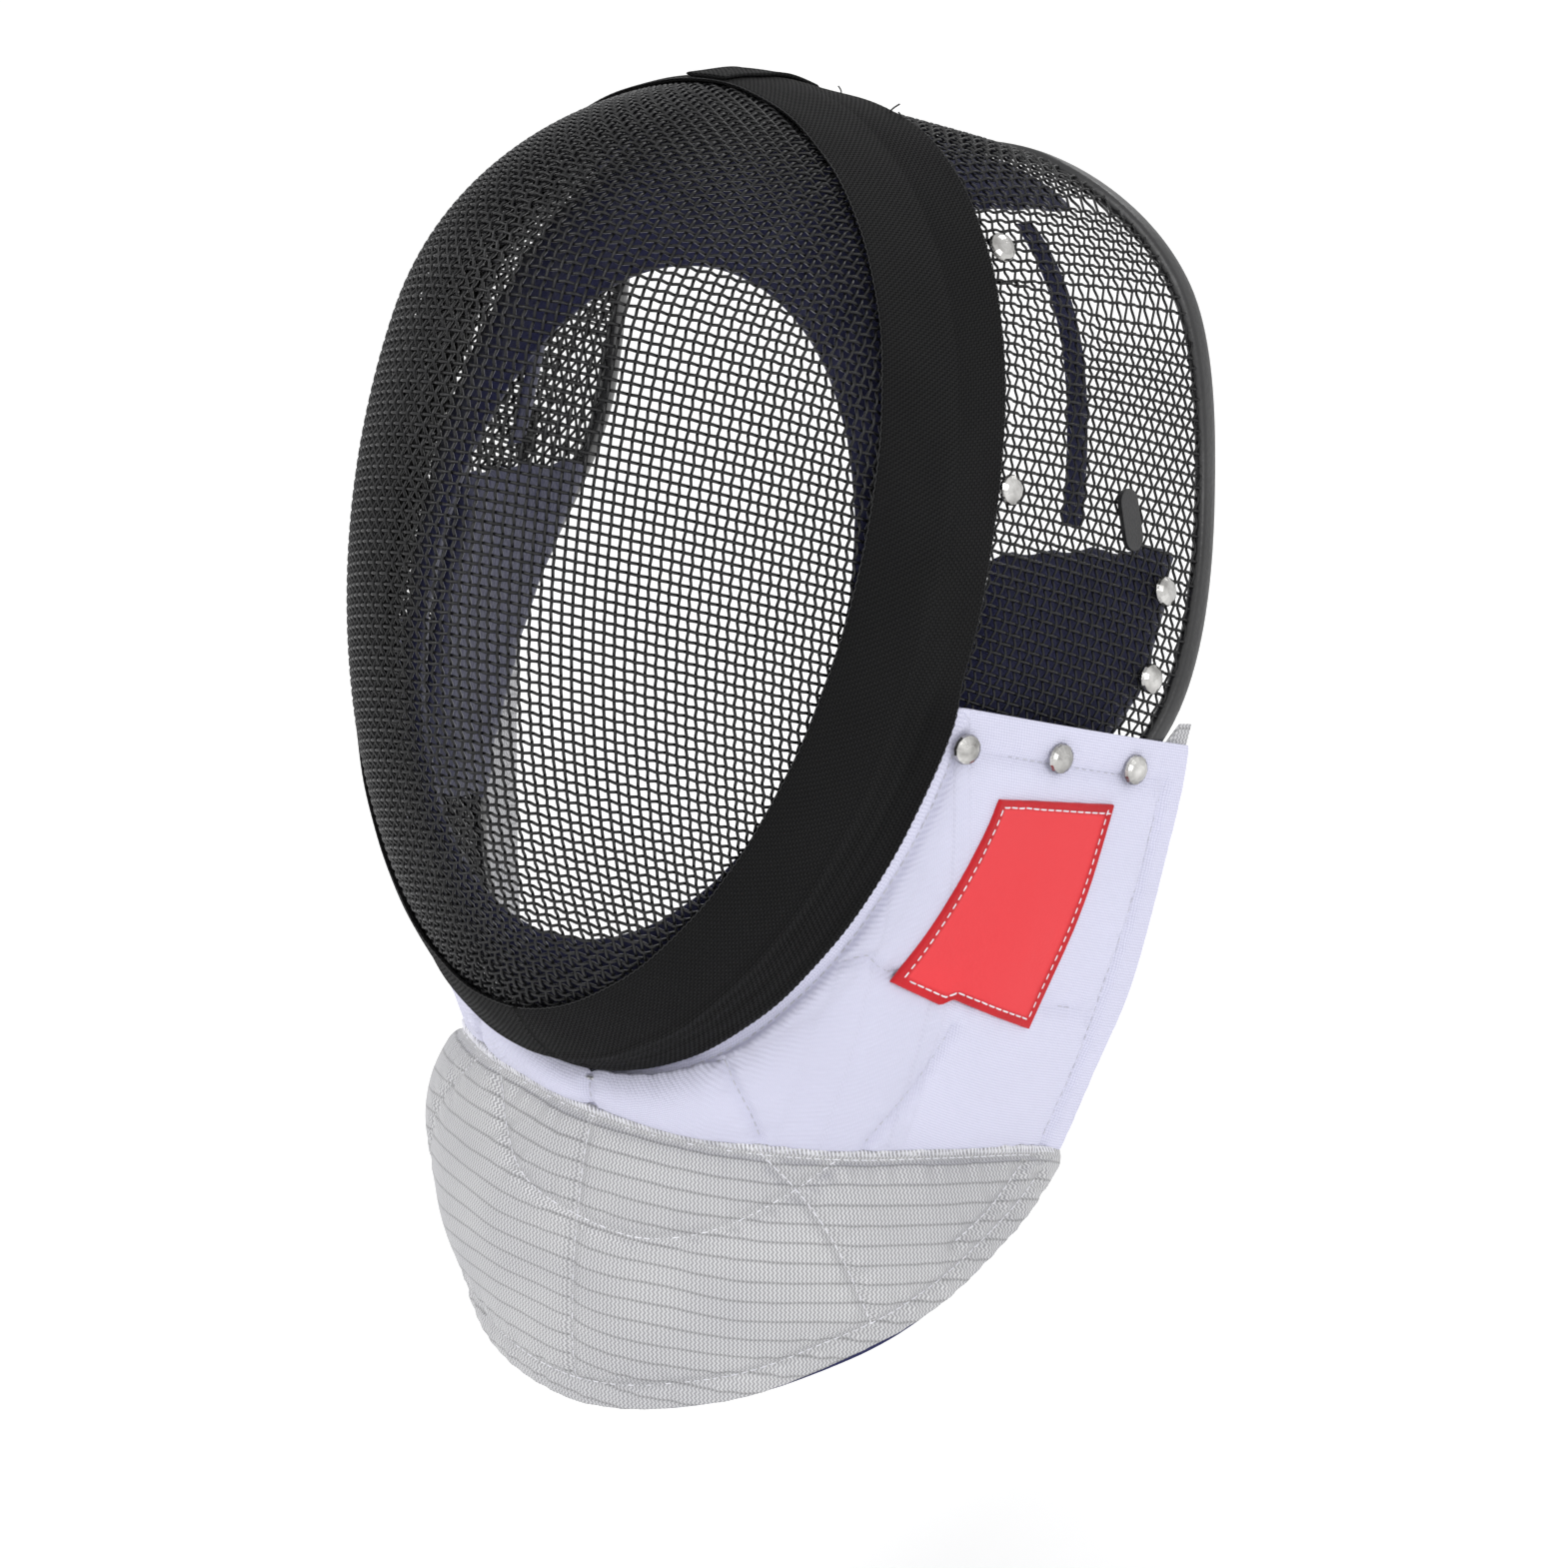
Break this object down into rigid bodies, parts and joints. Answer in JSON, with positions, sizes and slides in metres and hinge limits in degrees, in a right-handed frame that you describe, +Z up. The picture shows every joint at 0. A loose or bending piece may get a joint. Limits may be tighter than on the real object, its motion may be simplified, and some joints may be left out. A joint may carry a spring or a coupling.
{
  "type": "fencing mask",
  "caption": "Sabre fencing mask: black wire-mesh face and sides, elastic tape, rubber edging, navy liners and a hanging cloth bib with a silvery conductive skirt.",
  "frame": {"origin": "point inside the crown, on the underside of the crown pad, where the mask sits on the wearer's head", "axes": "+Z up, -Y the way the mask faces, +X towards the wearer's left"},
  "size_m": [0.2526, 0.2497, 0.3922],
  "materials": {
    "mesh_wire": "black enamel, satin",
    "elastic_tape": "knitted elastic, matte",
    "edging": "satin",
    "nickel": "polished nickel",
    "bib_cloth": "woven ballistic cloth, matte",
    "lame_cloth": "silvery woven lame",
    "label_cloth": "woven polyester, matte",
    "liner_cloth": "navy padded cloth, matte",
    "plate": "black plastic, satin"
  },
  "bodies": {
    "root": {"front_mesh": "mesh_wire", "side_mesh": "mesh_wire", "rear_edging": "edging", "trim_band": "elastic_tape", "bib_white": "bib_cloth", "bib_conductive": "lame_cloth", "face_liner": "liner_cloth", "crown_pad": "liner_cloth", "cheek_pad_left": "liner_cloth", "cheek_pad_right": "liner_cloth", "temple_strip_left": "liner_cloth", "temple_strip_right": "liner_cloth", "mesh_rivet_upper_left": "nickel", "mesh_rivet_middle_left": "nickel", "mesh_rivet_rear_left": "nickel", "mesh_rivet_low_left": "nickel", "bib_rivet_front_left": "nickel", "bib_rivet_middle_left": "nickel", "bib_rivet_rear_left": "nickel", "strap_plate_left": "plate", "mesh_rivet_upper_right": "nickel", "mesh_rivet_middle_right": "nickel", "mesh_rivet_rear_right": "nickel", "mesh_rivet_low_right": "nickel", "bib_rivet_front_right": "nickel", "bib_rivet_middle_right": "nickel", "bib_rivet_rear_right": "nickel", "strap_plate_right": "plate", "bib_label": "label_cloth"}
  },
  "joints": []
}
